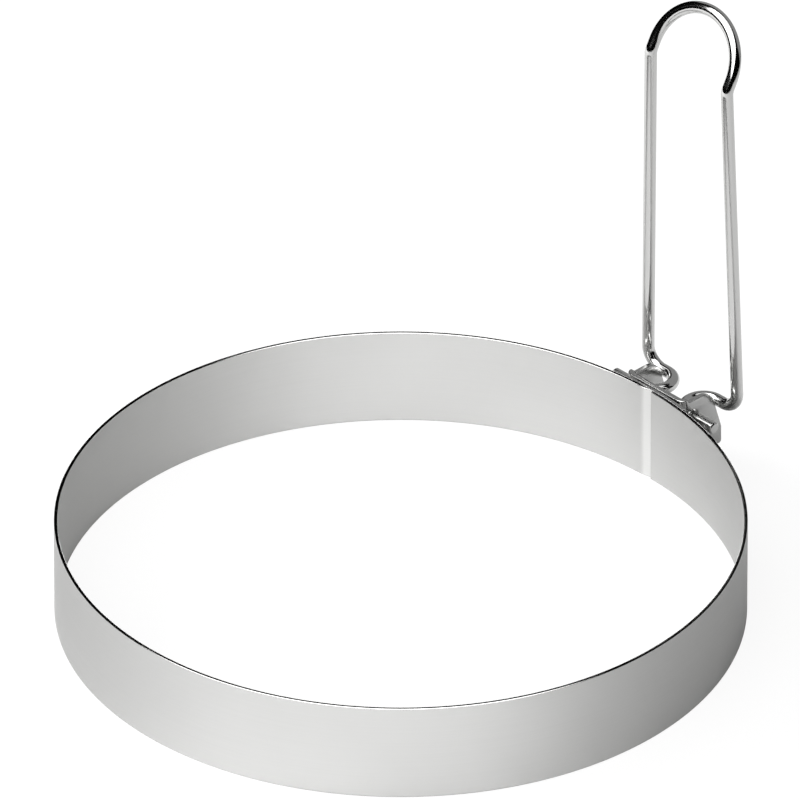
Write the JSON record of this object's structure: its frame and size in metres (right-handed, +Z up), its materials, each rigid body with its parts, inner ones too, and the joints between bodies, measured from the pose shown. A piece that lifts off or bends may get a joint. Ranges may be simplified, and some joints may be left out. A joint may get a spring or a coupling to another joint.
{
  "type": "egg ring",
  "caption": "Round sheet-steel egg ring with a strap over its seam, an eared hinge bracket and a bent wire handle that folds down across the ring.",
  "frame": {"origin": "under the middle of the whole part's box, on the plane that the ring stands on", "axes": "+X from the middle of the ring out through the hinge, +Z up along the ring's axis"},
  "size_m": [0.1246, 0.11, 0.0826],
  "materials": {
    "band": "satin stainless sheet",
    "bracket": "pressed stainless sheet",
    "wire": "polished stainless wire"
  },
  "bodies": {
    "ring": {"ring_band": "band", "seam_strap": "bracket", "hinge_bracket": "bracket"},
    "handle": {"wire_handle": "wire"}
  },
  "joints": [
    {"name": "handle_fold", "type": "hinge", "parent": "ring", "child": "handle", "pos_m": [0.05129, 0, 0.01254], "axis": [0, -1, 0], "range_deg": [0, 95]}
  ]
}
